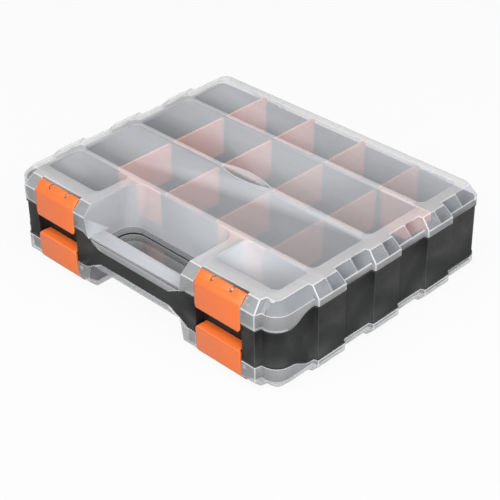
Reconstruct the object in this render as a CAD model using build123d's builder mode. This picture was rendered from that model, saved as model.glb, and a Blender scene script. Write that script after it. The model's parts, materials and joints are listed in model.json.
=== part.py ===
"""Double-sided parts organiser: a black tray with compartments on both faces, a frosted lid on each
face, four orange latches and loose orange dividers.

The origin is at the middle of the underside. X runs along the handle side, the handle and the
latches face -Y, the hinges lie along +Y, and Z points up. All sizes are in millimetres.
"""
from build123d import *
import math
import os

# Overall sizes
LENGTH = 320.0
DEPTH = 260.0
HEIGHT = 82.0

# Compartment grid. The outer columns and the rear row are shorter by a trim
COLUMNS = 5
COLUMN_TRIM = 3.5
ROW_TRIM = 6.0
FLOOR_THICK = 2.0
PARTITION_THICK = 2.0

# Case outline at the foot of the sloped border
PAD_STEP = 4.0
PAD_HALF = 15.7
PAD_FLARE = 1.0
PAD_TAPER = 1.9
FRONT_STEP = 6.2
FRONT_STEP_IN = 17.8
FRONT_FLARE = 1.6
FRONT_TAPER = 2.6
CORNER_RADIUS = 15.0
REAR_RADIUS = 10.0
LATCH_PROUD = 0.6
HINGE_PROUD = 5.0

# Sloped border of the lids
BORDER_DROP = 9.0
SIDE_RUN = 8.7
FRONT_RUN = 9.2
REAR_RUN = 3.0
BEAD_WIDTH = 1.4
BEAD_PROUD = 0.6

# Lid walls and panels
LID_WALL = 1.8
PANEL_SINK = 0.8
PANEL_THICK = 1.4
PANEL_MARGIN = 10.0
PANEL_FRONT_MARGIN = 16.0
PANEL_REAR_MARGIN = 7.5
PANEL_RADIUS = 6.0
PANEL_RIB_WIDTH = 4.4
LENS_LENGTH = 66.0
LENS_WIDTH = 15.0
LENS_LINE = 1.6

# Skirt of the lids: its depth at the sides, and half the black band left open elsewhere
SKIRT_SIDE = 15.3
FRONT_BAND_HALF = 17.4
HANDLE_BAND_HALF = 7.0
SKIRT_CURVE_START = 45.5
SKIRT_CURVE_LENGTH = 26.0

# Tray wall
TRAY_WALL = 2.0
LID_GAP = 0.5
SEAT_GAP = 0.25
RIM_DROP = 10.0
BAND_INSET = 1.0
LIP_INSET = 0.2
LIP_HEIGHT = 1.5
PARTITION_DROP = 2.6

# Handle recess, with its walls leaning in towards the gap
RECESS_HALF = 60.0
RECESS_LEAN_SIDE = 6.0
RECESS_LEAN_REAR = 12.5
RECESS_RADIUS = 14.0
GRIP_DEPTH = 19.0
GRIP_RISE = 7.5
GRIP_RADIUS = 3.6
SHOULDER_RUN = 20.0
SHOULDER_DEPTH = 6.0
WALL_CLEARANCE = 0.7

# Sleeve of each lid that lines the finger gap almost to the middle of the case
SLEEVE_WALL = 1.2
SLEEVE_END_GAP = 0.8

# Latches
LATCH_END = 61.8
LATCH_WIDTH = 49.6
LATCH_THICK = 2.4
LATCH_GAP = 0.6
LATCH_AXIS_DROP = 3.6
LATCH_AXIS_SETBACK = 7.8
LATCH_BARREL = 3.0
LATCH_FACE_BEND = 10.5
LATCH_FACE_LEAN = 0.8
LATCH_BEND_RADIUS = 6.0
LATCH_EDGE_RISE = 8.8
LATCH_LIP_RISE = 7.1
LATCH_LIP_DEPTH = 9.6
LATCH_CORNER = 6.0
LATCH_NOTCH_OFFSET = 10.5
LATCH_NOTCH_WIDTH = 3.0
POCKET_GAP = 0.5
POCKET_WALL = 2.8
EAR_WIDTH = 2.2
EAR_DROP = 0.9
LATCH_PIN_RADIUS = 1.25
LATCH_PIN_SEAT = 1.5
CATCH_HEIGHT = 2.6
CATCH_DEPTH = 2.0
CATCH_HALF = 21.0
CATCH_CLEARANCE = 0.5
HOOK_REACH = 0.9
HOOK_SLANT = 0.8

# Rear hinges
HINGE_END = 64.0
HINGE_AXIS_DROP = 15.8
KNUCKLE_RADIUS = 3.5
TRAY_KNUCKLE = 20.0
LID_KNUCKLE = 9.6
KNUCKLE_GAP = 0.4
HINGE_PIN_RADIUS = 1.5
TIGHT_FIT = 0.02
RUNNING_FIT = 0.06
KNUCKLE_CLEARANCE = 0.6

# Dividers and their guides
CROSS_COLUMNS = {-1: (-1, 1), 1: (2,)}
CROSS_MARGIN = 5.0
DIVIDER_THICK = 1.6
DIVIDER_END_GAP = 0.35
DIVIDER_TOP_DROP = 2.8
DIVIDER_FLOOR_GAP = 0.2
GUIDE_THICK = 1.2
GUIDE_REACH = 1.8
GUIDE_GAP = 0.25
DIVIDER_CORNER = 2.0

# Heights and places that follow from the sizes above
MIDDLE = HEIGHT / 2
FRONT = -DEPTH / 2 + LATCH_PROUD
REAR = DEPTH / 2 - HINGE_PROUD
PAD_X = LENGTH / 2
SIDE_X = PAD_X - PAD_STEP
BORDER_Z = HEIGHT - BORDER_DROP
COLUMN_PITCH = 2 * (SIDE_X - COLUMN_TRIM) / COLUMNS
ROW_PITCH = (REAR + ROW_TRIM) / 2
FRONT_END = SIDE_X - FRONT_STEP_IN
SKIRT_FRONT_Z = MIDDLE + FRONT_BAND_HALF
GRIP_BOTTOM = MIDDLE + HANDLE_BAND_HALF
GRIP_TOP = GRIP_BOTTOM + GRIP_RISE
GRIP_REAR = FRONT + GRIP_DEPTH
SLEEVE_END = MIDDLE + SLEEVE_END_GAP
FLOOR_TOP = MIDDLE + FLOOR_THICK / 2
TRAY_INSET = LID_WALL + LID_GAP
CELL_INSET = TRAY_INSET + TRAY_WALL
CELL_REAR = REAR - CELL_INSET
PARTITION_TOP = HEIGHT - PARTITION_DROP
PARTITIONS = [-ROW_PITCH, 0.0, ROW_PITCH]
RECESS_CELL_X = RECESS_HALF + LID_WALL + WALL_CLEARANCE
RECESS_CELL_Y = -ROW_PITCH - PARTITION_THICK / 2
RECESS_REAR = RECESS_CELL_Y - WALL_CLEARANCE - LID_WALL
LATCH_X = LENGTH / 2 - LATCH_END
LATCH_AXIS_Y = FRONT + LATCH_AXIS_SETBACK
LATCH_AXIS_Z = HEIGHT - LATCH_AXIS_DROP
HINGE_X = LENGTH / 2 - HINGE_END
HINGE_AXIS_Z = HEIGHT - HINGE_AXIS_DROP
HINGE_AXIS_Y = DEPTH / 2 - KNUCKLE_RADIUS
LATCH_FACE_Y = FRONT - LATCH_PROUD
LATCH_BACK_Y = LATCH_FACE_Y + LATCH_THICK
HOOK_TIP_Y = LATCH_FACE_Y + LATCH_LIP_DEPTH
LATCH_EDGE_Z = MIDDLE + LATCH_EDGE_RISE
CATCH_BOTTOM = LATCH_EDGE_Z + HOOK_REACH + CATCH_CLEARANCE
LATCH_BAY_Y = HOOK_TIP_Y + WALL_CLEARANCE
LATCH_BAY_HALF = LATCH_WIDTH / 2 + LATCH_GAP
BEYOND = 20.0
OVERSHOOT = 1.0
TALL = 2 * HEIGHT
MIRROR = Plane.XY.offset(MIDDLE)
SIDES = (-1, 1)


def rim_sketch(level, run, inset):
    """Plan of the case at a height: run 0 is the foot of the sloped border and run 1 its top."""
    side = SIDE_X - SIDE_RUN * run - inset
    pad = PAD_X - SIDE_RUN * run - inset
    front = FRONT + FRONT_RUN * run + inset
    rear = REAR - REAR_RUN * run - inset
    corner = CORNER_RADIUS - FRONT_RUN * run - inset
    rear_corner = REAR_RADIUS - REAR_RUN * run - inset
    half = PAD_HALF - PAD_TAPER * run - inset / 2
    step_x = FRONT_END - FRONT_TAPER * run - inset
    step_y = front + FRONT_STEP
    with BuildSketch(Plane.XY.offset(level)) as plan:
        with BuildLine() as edge:
            points = [(0, front), (step_x, front), (step_x + FRONT_FLARE, step_y)]
            points.append((side - corner, step_y))
            Polyline(*points)
            RadiusArc((side - corner, step_y), (side, step_y + corner), -corner)
            points = [(side, step_y + corner)]
            for pad_y in PARTITIONS:
                points.append((side, pad_y - half - PAD_FLARE))
                points.append((pad, pad_y - half))
                points.append((pad, pad_y + half))
                points.append((side, pad_y + half + PAD_FLARE))
            points.append((side, rear - rear_corner))
            Polyline(*points)
            RadiusArc((side, rear - rear_corner), (side - rear_corner, rear), -rear_corner)
            Line((side - rear_corner, rear), (0, rear))
            mirror(edge.line, about=Plane.YZ)
        make_face()
    return plan.sketch


def skirt_line(lift):
    """Points and curve of the skirt's lower edge in the YZ plane, raised by a lift."""
    start = FRONT + SKIRT_CURVE_START
    end = start - SKIRT_CURVE_LENGTH
    middle = (start + end) / 2
    side = HEIGHT - SKIRT_SIDE + lift
    front = SKIRT_FRONT_Z + lift
    Line((REAR + BEYOND, side), (start, side))
    Bezier((start, side), (middle, side), (middle, front), (end, front))
    Line((end, front), (FRONT - BEYOND, front))


def side_cutter(low_x, lift, far):
    """Two prisms beside the handle zone between the skirt's edge and a far height."""
    with BuildPart() as cutter:
        with BuildSketch(Plane.YZ.offset(low_x)):
            with BuildLine():
                skirt_line(lift)
                end_z = SKIRT_FRONT_Z + lift
                side_z = HEIGHT - SKIRT_SIDE + lift
                corners = [(FRONT - BEYOND, end_z), (FRONT - BEYOND, far)]
                corners += [(REAR + BEYOND, far), (REAR + BEYOND, side_z)]
                Polyline(*corners)
            make_face()
        extrude(amount=LENGTH)
        mirror(about=Plane.YZ)
    return cutter.part


def handle_cutter(outer, lift, far):
    """Prism over the handle zone between the skirt's edge there and a far height."""
    inner = outer - SHOULDER_RUN
    shoulder = SKIRT_FRONT_Z + lift
    grip = GRIP_BOTTOM + lift
    with BuildPart() as cutter:
        with BuildSketch(Plane.XZ.offset(-FRONT - SHOULDER_DEPTH)):
            with BuildLine():
                points = [(-outer, far), (-outer, shoulder), (-inner, grip)]
                points += [(inner, grip), (outer, shoulder), (outer, far)]
                Polyline(*points, close=True)
            make_face()
        extrude(amount=BEYOND)
    return cutter.part


def recess_tool(swell):
    """Air space of the handle recess above the grip and of the gap behind it, grown by a swell."""
    depth_to_gap = HEIGHT - GRIP_BOTTOM

    def opening(level):
        """Half width and rear edge of the recess at a height."""
        fall = (HEIGHT - level) / depth_to_gap
        half = RECESS_HALF - RECESS_LEAN_SIDE * fall + swell
        rear = RECESS_REAR - RECESS_LEAN_REAR * fall + swell
        return half, rear

    front = FRONT - BEYOND
    gap_front = GRIP_REAR - swell
    with BuildPart() as tool:
        for level in (HEIGHT + OVERSHOOT, GRIP_TOP - swell):
            half, rear = opening(level)
            with BuildSketch(Plane.XY.offset(level)) as bay:
                with Locations((0, (rear + front) / 2)):
                    Rectangle(2 * half, rear - front)
                fillet(bay.vertices().group_by(Axis.Y)[-1], RECESS_RADIUS + swell)
        loft(ruled=True)
        for level in (GRIP_TOP, GRIP_BOTTOM - OVERSHOOT):
            half, rear = opening(level)
            with BuildSketch(Plane.XY.offset(level)) as gap:
                with Locations((0, (rear + gap_front) / 2)):
                    Rectangle(2 * half, rear - gap_front)
                fillet(gap.vertices().group_by(Axis.Y)[-1], RECESS_RADIUS + swell)
                fillet(gap.vertices().group_by(Axis.Y)[0], GRIP_RADIUS + swell)
        loft(ruled=True)
    return tool.part


def gap_sketch(level, swell):
    """Plan of the finger gap at a height, grown by a swell."""
    half = RECESS_HALF - RECESS_LEAN_SIDE + swell
    rear = RECESS_REAR - RECESS_LEAN_REAR + swell
    front = GRIP_REAR - swell
    with BuildSketch(Plane.XY.offset(level)) as gap:
        with Locations((0, (rear + front) / 2)):
            Rectangle(2 * half, rear - front)
        fillet(gap.vertices().group_by(Axis.Y)[-1], RECESS_RADIUS + swell)
        fillet(gap.vertices().group_by(Axis.Y)[0], GRIP_RADIUS + swell)
    return gap.sketch


def latch_pocket(side, growth, side_growth, low):
    """Space in the front and the sloped border that a latch fills, down to a low level."""
    back = LATCH_BARREL + POCKET_GAP + growth
    knee_y = LATCH_AXIS_Y - (LATCH_BARREL + POCKET_GAP) / 2
    face_y = LATCH_BACK_Y + LATCH_GAP + growth
    bend_z = HEIGHT - LATCH_FACE_BEND - growth
    with BuildPart() as pocket:
        with BuildSketch(Plane.YZ.offset(side * LATCH_X)):
            with Locations((LATCH_AXIS_Y, LATCH_AXIS_Z)):
                Circle(back)
            with BuildLine():
                points = [(LATCH_AXIS_Y + back, LATCH_AXIS_Z), (LATCH_AXIS_Y + back, TALL)]
                points += [(FRONT - BEYOND, TALL), (FRONT - BEYOND, low), (face_y, low), (face_y, bend_z)]
                points += [(knee_y, LATCH_AXIS_Z - back), (LATCH_AXIS_Y, LATCH_AXIS_Z - back)]
                Polyline(*points, close=True)
            make_face()
        extrude(amount=LATCH_BAY_HALF + side_growth, both=True)
    return pocket.part


def knuckle_barrel(centre_x, width, radius):
    """Plain barrel about the upper lid's hinge axis."""
    with BuildPart() as barrel:
        with Locations((centre_x, HINGE_AXIS_Y, HINGE_AXIS_Z)):
            Cylinder(radius, width, rotation=(0, 90, 0))
    return barrel.part


def lid_knuckle_places():
    """Middles of the lid's knuckles along X."""
    offset = (TRAY_KNUCKLE + LID_KNUCKLE) / 2 + KNUCKLE_GAP
    return [side * HINGE_X + turn * offset for side in SIDES for turn in SIDES]


def ear_places():
    """Middles in X of the lid's ears, which stand in the notches of the latches."""
    return [side * LATCH_X + turn * LATCH_NOTCH_OFFSET for side in SIDES for turn in SIDES]


def divider_places():
    """Line, lower end and upper end in Y of each divider that stands across the rows."""
    half_wall = PARTITION_THICK / 2
    ends = PARTITIONS[1:] + [CELL_REAR + half_wall]
    lines = [COLUMN_PITCH * (step - COLUMNS / 2 + 1) for step in range(COLUMNS - 1)]
    places = []
    for start, end in zip(PARTITIONS, ends):
        places += [(line_x, start + half_wall, end - half_wall) for line_x in lines]
    return places


def cross_places():
    """Middle in X and wall line in Y of each divider that closes a window in a partition."""
    return [(column * COLUMN_PITCH, wall * ROW_PITCH) for wall, columns in CROSS_COLUMNS.items()
            for column in columns]


def both_faces(*parts):
    """Pieces of the upper half and their mirror images in the lower half."""
    return [*parts, *(part.mirror(MIRROR) for part in parts)]


def save(part, name):
    """Label a finished piece and write it to its own file."""
    part.label = name
    export_step(part, f"parts/{name}.step")


def save_mirrored(part, upper_name, lower_name):
    """Write an upper piece and its mirror image on the lower face."""
    save(part, upper_name)
    save(part.mirror(MIRROR), lower_name)


os.makedirs("parts", exist_ok=True)

# Inside of the lid: the outline less one wall, kept solid round the recess and under the latches
with BuildPart() as lid_inside:
    add(rim_sketch(GRIP_BOTTOM - BEYOND, 0, LID_WALL))
    extrude(amount=BORDER_Z - LID_WALL / 2 - GRIP_BOTTOM + BEYOND)
    add(rim_sketch(BORDER_Z - LID_WALL / 2, 0, LID_WALL))
    add(rim_sketch(HEIGHT - PANEL_SINK - PANEL_THICK, 1, LID_WALL))
    loft(ruled=True)
    add(recess_tool(LID_WALL), mode=Mode.SUBTRACT)
    for side in SIDES:
        add(latch_pocket(side, LID_WALL, POCKET_WALL, MIDDLE), mode=Mode.SUBTRACT)

# Corners taken off the grip's upper edges
with BuildPart() as grip_rounding:
    with BuildSketch(Plane.YZ):
        for edge_y, turn in ((FRONT, 1), (GRIP_REAR, -1)):
            with BuildLine():
                inner_y = edge_y + turn * GRIP_RADIUS
                low_z = GRIP_TOP - GRIP_RADIUS
                outer_y = edge_y - turn * OVERSHOOT
                high_z = GRIP_TOP + OVERSHOOT
                Polyline((inner_y, GRIP_TOP), (inner_y, high_z), (outer_y, high_z),
                         (outer_y, low_z), (edge_y, low_z))
                RadiusArc((edge_y, low_z), (inner_y, GRIP_TOP), turn * GRIP_RADIUS)
            make_face()
    extrude(amount=RECESS_HALF - RECESS_LEAN_SIDE, both=True)

# Air round the upper lid. The skirt's lower edge is high at the sides, low at the front and
# lowest over the grip, and the latch pockets and the gaps for the tray's knuckles are open
hinge_gap_width = TRAY_KNUCKLE + 2 * KNUCKLE_GAP
hinge_gap_radius = KNUCKLE_RADIUS + KNUCKLE_CLEARANCE
lid_air = [grip_rounding.part]
lid_air.append(side_cutter(RECESS_HALF + LID_WALL, 0, -BEYOND))
lid_air.append(handle_cutter(RECESS_HALF + LID_WALL, 0, -BEYOND))
for side in SIDES:
    lid_air.append(latch_pocket(side, 0, 0, MIDDLE))
    lid_air.append(knuckle_barrel(side * HINGE_X, hinge_gap_width, hinge_gap_radius))
with BuildPart() as rear_skirt_air:
    with Locations((0, REAR, (HEIGHT - SKIRT_SIDE) / 2)):
        Box(LENGTH, 2 * CELL_INSET, HEIGHT - SKIRT_SIDE)
lid_air.append(rear_skirt_air.part)

# Sleeve of the lid that lines the finger gap
with BuildPart() as sleeve:
    add(gap_sketch(SLEEVE_END, SLEEVE_WALL))
    extrude(amount=GRIP_BOTTOM - SLEEVE_END)
    add(gap_sketch(SLEEVE_END, 0))
    extrude(amount=GRIP_BOTTOM - SLEEVE_END, mode=Mode.SUBTRACT)

# Upper lid
with BuildPart() as top_lid:
    add(rim_sketch(GRIP_BOTTOM, 0, 0))
    extrude(amount=BORDER_Z - GRIP_BOTTOM)
    add(rim_sketch(BORDER_Z, 0, 0))
    add(rim_sketch(HEIGHT, 1, 0))
    loft(ruled=True)
    add([lid_inside.part, recess_tool(0)], mode=Mode.SUBTRACT)
    add(lid_air, mode=Mode.SUBTRACT)
    add(sleeve.part)

    # Sunk panels leave a raised border, a band over each partition and a lens-shaped line
    panel_x = SIDE_X - SIDE_RUN - PANEL_MARGIN
    panel_rear = REAR - REAR_RUN - PANEL_REAR_MARGIN
    panel_front = FRONT + FRONT_RUN + PANEL_FRONT_MARGIN
    with BuildSketch(Plane.XY.offset(HEIGHT)) as panel:
        with BuildLine() as panel_edge:
            inner_x = RECESS_HALF + PANEL_MARGIN
            points = [(0, panel_rear), (panel_x, panel_rear), (panel_x, panel_front)]
            points += [(inner_x, panel_front), (inner_x, RECESS_CELL_Y), (0, RECESS_CELL_Y)]
            Polyline(*points)
            mirror(panel_edge.line, about=Plane.YZ)
        make_face()
        with Locations(*[(0, wall_y) for wall_y in PARTITIONS]):
            Rectangle(LENGTH, PANEL_RIB_WIDTH, mode=Mode.SUBTRACT)
        fillet(panel.vertices().filter_by(lambda corner: abs(corner.X) > OVERSHOOT), PANEL_RADIUS)
        for shrink, mode in ((0.0, Mode.SUBTRACT), (LENS_LINE, Mode.ADD)):
            half_length = LENS_LENGTH / 2 - 2 * shrink
            half_width = LENS_WIDTH / 2 - shrink
            with BuildLine():
                ThreePointArc((-half_length, 0), (0, half_width), (half_length, 0))
                ThreePointArc((half_length, 0), (0, -half_width), (-half_length, 0))
            make_face(mode=mode)
    extrude(amount=-PANEL_SINK, mode=Mode.SUBTRACT)

    # Two ears in each latch pocket hold the latch pin
    ear_half = LATCH_BARREL - EAR_DROP
    ear_foot = LATCH_BARREL + POCKET_GAP + LID_WALL / 2
    for ear_x in ear_places():
        with BuildSketch(Plane.YZ.offset(ear_x)):
            with Locations((LATCH_AXIS_Y, LATCH_AXIS_Z)):
                Circle(ear_half)
            with Locations((LATCH_AXIS_Y, LATCH_AXIS_Z - ear_foot / 2)):
                Rectangle(2 * ear_half, ear_foot)
        extrude(amount=EAR_WIDTH / 2, both=True)

    # Hinge knuckles, each on a link that joins it to the rear wall
    link_height = BORDER_Z - HINGE_AXIS_Z
    link_depth = HINGE_AXIS_Y - REAR + LID_WALL
    link_y = HINGE_AXIS_Y - link_depth / 2
    link_z = HINGE_AXIS_Z + link_height / 2
    with Locations(*[(centre_x, link_y, link_z) for centre_x in lid_knuckle_places()]):
        Box(LID_KNUCKLE, link_depth, link_height)
    add([knuckle_barrel(x, LID_KNUCKLE, KNUCKLE_RADIUS) for x in lid_knuckle_places()])

    # Bores for the latch pins and the hinge pins
    bore = HINGE_PIN_RADIUS + RUNNING_FIT
    add([knuckle_barrel(x, LID_KNUCKLE + OVERSHOOT, bore) for x in lid_knuckle_places()], mode=Mode.SUBTRACT)
    with Locations(*[(side * LATCH_X, LATCH_AXIS_Y, LATCH_AXIS_Z) for side in SIDES]):
        pin_room = 2 * (LATCH_BAY_HALF + LATCH_PIN_SEAT)
        seat_radius = LATCH_PIN_RADIUS + TIGHT_FIT
        Cylinder(seat_radius, pin_room, rotation=(0, 90, 0), mode=Mode.SUBTRACT)

# Fine beads run down the sloped border at the middle of each pad and of each window between pads
with BuildPart() as bead_slabs:
    for bead_step in range(-2, 4):
        for side in SIDES:
            with Locations((side * LENGTH / 2, bead_step * ROW_PITCH / 2, HEIGHT - BORDER_DROP / 2)):
                Box(LENGTH / 10, BEAD_WIDTH, BORDER_DROP)

with BuildPart() as beads:
    add(rim_sketch(BORDER_Z, 0, 0))
    add(rim_sketch(HEIGHT, 1, -BEAD_PROUD))
    loft(ruled=True)
    add(bead_slabs.part, mode=Mode.INTERSECT)
    add(lid_inside.part, mode=Mode.SUBTRACT)

with BuildPart() as beaded_lid:
    add(top_lid.part)
    add(beads.part)

save_mirrored(beaded_lid.part, "top_lid", "bottom_lid")


# Ribs in pairs that guide the ends of the dividers
guide_offset = DIVIDER_THICK / 2 + GUIDE_GAP + GUIDE_THICK / 2
guide_spots = []
for line_x, low_y, high_y in divider_places():
    for turn in SIDES:
        guide_spots.append((line_x + turn * guide_offset, low_y + GUIDE_REACH / 2, MIDDLE))
        guide_spots.append((line_x + turn * guide_offset, high_y - GUIDE_REACH / 2, MIDDLE))
with BuildPart() as guides:
    with Locations(*guide_spots):
        Box(GUIDE_THICK, GUIDE_REACH, TALL)

# Windows in the partitions, and the channels at their ends that hold the cross dividers
window_half = COLUMN_PITCH / 2 - CROSS_MARGIN
channel_half = window_half + GUIDE_REACH
channel_thick = DIVIDER_THICK + 2 * GUIDE_GAP + 2 * GUIDE_THICK
with BuildPart() as channels:
    for centre_x, wall_y in cross_places():
        for turn in SIDES:
            channel_x = centre_x + turn * (window_half + GUIDE_REACH)
            with Locations((channel_x, wall_y, MIDDLE)):
                Box(2 * GUIDE_REACH, channel_thick, HEIGHT - 2 * RIM_DROP)
with BuildPart() as windows:
    for centre_x, wall_y in cross_places():
        with Locations((centre_x, wall_y, FLOOR_TOP + MIDDLE)):
            Box(2 * window_half, channel_thick + OVERSHOOT, HEIGHT)
            Box(2 * channel_half, DIVIDER_THICK + 2 * GUIDE_GAP, HEIGHT)

# Air of the upper compartments: the inside of the tray's wall less what stands in it
with BuildPart() as cells:
    add(rim_sketch(FLOOR_TOP, 0, CELL_INSET))
    extrude(amount=HEIGHT - FLOOR_TOP)
    with Locations(*[(0, wall_y, MIDDLE) for wall_y in PARTITIONS]):
        Box(LENGTH, PARTITION_THICK, TALL, mode=Mode.SUBTRACT)
    recess_depth = RECESS_CELL_Y - FRONT + BEYOND
    with Locations((0, RECESS_CELL_Y - recess_depth / 2, MIDDLE)):
        Box(2 * RECESS_CELL_X + 2 * TRAY_WALL, recess_depth, TALL, mode=Mode.SUBTRACT)
    wall_depth = LATCH_BAY_Y + TRAY_WALL - FRONT
    wall_half = LATCH_BAY_HALF + POCKET_WALL + WALL_CLEARANCE + TRAY_WALL / 2
    with Locations(*[(side * LATCH_X, FRONT + wall_depth / 2, MIDDLE) for side in SIDES]):
        Box(2 * wall_half, wall_depth, TALL, mode=Mode.SUBTRACT)
    add(guides.part, mode=Mode.SUBTRACT)
    add(channels.part, mode=Mode.SUBTRACT)

# Air over the handle's web, which leaves a shoulder at each end of the grip
web_top = GRIP_BOTTOM - SEAT_GAP
with BuildPart() as recess_air:
    air_front = FRONT + SHOULDER_DEPTH - WALL_CLEARANCE
    with Locations((0, (RECESS_CELL_Y + air_front) / 2, web_top + MIDDLE)):
        Box(2 * RECESS_CELL_X, RECESS_CELL_Y - air_front, HEIGHT)
    add(handle_cutter(RECESS_CELL_X, -SEAT_GAP, TALL))

# Outside of the tray: an upright wall inside both skirts and a thicker band between them
with BuildPart() as band:
    add(rim_sketch(SKIRT_SIDE + SEAT_GAP, 0, BAND_INSET))
    extrude(amount=HEIGHT - 2 * SKIRT_SIDE - 2 * SEAT_GAP)
    add(side_cutter(RECESS_CELL_X, -SEAT_GAP, TALL), mode=Mode.SUBTRACT)
    add(side_cutter(RECESS_CELL_X, -SEAT_GAP, TALL).mirror(MIRROR), mode=Mode.SUBTRACT)

# Thin lip along both edges of the band
with BuildPart() as lip:
    add(rim_sketch(SKIRT_SIDE + SEAT_GAP, 0, LIP_INSET))
    extrude(amount=HEIGHT - 2 * SKIRT_SIDE - 2 * SEAT_GAP)
    add(side_cutter(RECESS_CELL_X, -SEAT_GAP, TALL), mode=Mode.SUBTRACT)
    add(side_cutter(RECESS_CELL_X, -SEAT_GAP - LIP_HEIGHT, -BEYOND), mode=Mode.SUBTRACT)
    with Locations((0, 0, MIDDLE)):
        Box(2 * RECESS_CELL_X, 2 * DEPTH, TALL, mode=Mode.SUBTRACT)

# Partitions rise above the rim, with ends that slope under the lid's border
ridge_foot = PAD_X - TRAY_INSET
ridge_end = PAD_X - SIDE_RUN - LID_WALL - WALL_CLEARANCE
rim_top = HEIGHT - RIM_DROP
with BuildPart() as ridges:
    for wall_y in PARTITIONS:
        with BuildSketch(Plane.XZ.offset(-wall_y)):
            with BuildLine():
                Polyline((-ridge_foot, MIDDLE), (-ridge_foot, rim_top), (-ridge_end, PARTITION_TOP),
                         (ridge_end, PARTITION_TOP), (ridge_foot, rim_top), (ridge_foot, MIDDLE), close=True)
            make_face()
        extrude(amount=PARTITION_THICK / 2, both=True)
    for side in SIDES:
        with BuildSketch(Plane.YZ.offset(side * (RECESS_CELL_X + TRAY_WALL / 2))):
            with BuildLine():
                front_foot = FRONT + TRAY_INSET
                front_end = FRONT + FRONT_RUN + LID_WALL + WALL_CLEARANCE
                Polyline((-ROW_PITCH, MIDDLE), (-ROW_PITCH, PARTITION_TOP), (front_end, PARTITION_TOP),
                         (front_foot, rim_top), (front_foot, MIDDLE), close=True)
            make_face()
        extrude(amount=TRAY_WALL / 2, both=True)
    add(channels.part)

# Hinge knuckles of the tray, each on a block that joins it to the band
with BuildPart() as knuckles:
    for side in SIDES:
        add(knuckle_barrel(side * HINGE_X, TRAY_KNUCKLE, KNUCKLE_RADIUS))
        block_depth = HINGE_AXIS_Y - REAR + CELL_INSET
        block_y = HINGE_AXIS_Y - block_depth / 2
        with Locations((side * HINGE_X, block_y, HINGE_AXIS_Z - KNUCKLE_RADIUS / 2)):
            Box(TRAY_KNUCKLE, block_depth, KNUCKLE_RADIUS)

with BuildPart() as knuckle_bores:
    for side in SIDES:
        add(knuckle_barrel(side * HINGE_X, TRAY_KNUCKLE + OVERSHOOT, HINGE_PIN_RADIUS + TIGHT_FIT))
    for centre_x in lid_knuckle_places():
        gap_radius = KNUCKLE_RADIUS + KNUCKLE_CLEARANCE
        add(knuckle_barrel(centre_x, LID_KNUCKLE + 2 * KNUCKLE_GAP, gap_radius))

# Room over the tray's rim for the walls of the lid's latch pockets
pocket_room = POCKET_WALL + WALL_CLEARANCE
pocket_low = SKIRT_FRONT_Z - SEAT_GAP
pocket_air = [latch_pocket(side, LID_WALL + WALL_CLEARANCE, pocket_room, pocket_low) for side in SIDES]

# Bays that the latches fill, open over the tray's whole height
bay_depth = LATCH_BAY_Y - FRONT + BEYOND
with BuildPart() as bays:
    with Locations(*[(side * LATCH_X, LATCH_BAY_Y - bay_depth / 2, MIDDLE) for side in SIDES]):
        Box(2 * LATCH_BAY_HALF, bay_depth, TALL)

# Catch beads that the latches hook over
catch_y = LATCH_BAY_Y - CATCH_DEPTH / 2
catch_z = CATCH_BOTTOM + CATCH_HEIGHT / 2
with BuildPart() as catches:
    with Locations(*[(side * LATCH_X, catch_y, catch_z) for side in SIDES]):
        Box(2 * CATCH_HALF, CATCH_DEPTH, CATCH_HEIGHT)

# Finger gap through the web behind the grip, with room for the sleeves of the lids
with BuildPart() as finger_gap:
    add(gap_sketch(GRIP_BOTTOM, SLEEVE_WALL + WALL_CLEARANCE))
    extrude(amount=-HEIGHT / 2)

# Tray
with BuildPart() as tray:
    add(rim_sketch(RIM_DROP, 0, TRAY_INSET))
    extrude(amount=HEIGHT - 2 * RIM_DROP)
    add([band.part, *both_faces(lip.part, ridges.part)])
    add([bays.part, *both_faces(cells.part, recess_air.part, windows.part)], mode=Mode.SUBTRACT)
    add([finger_gap.part, *both_faces(*pocket_air)], mode=Mode.SUBTRACT)
    add(both_faces(knuckles.part, catches.part))
    add(both_faces(knuckle_bores.part), mode=Mode.SUBTRACT)
save(tray.part, "tray")

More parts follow.
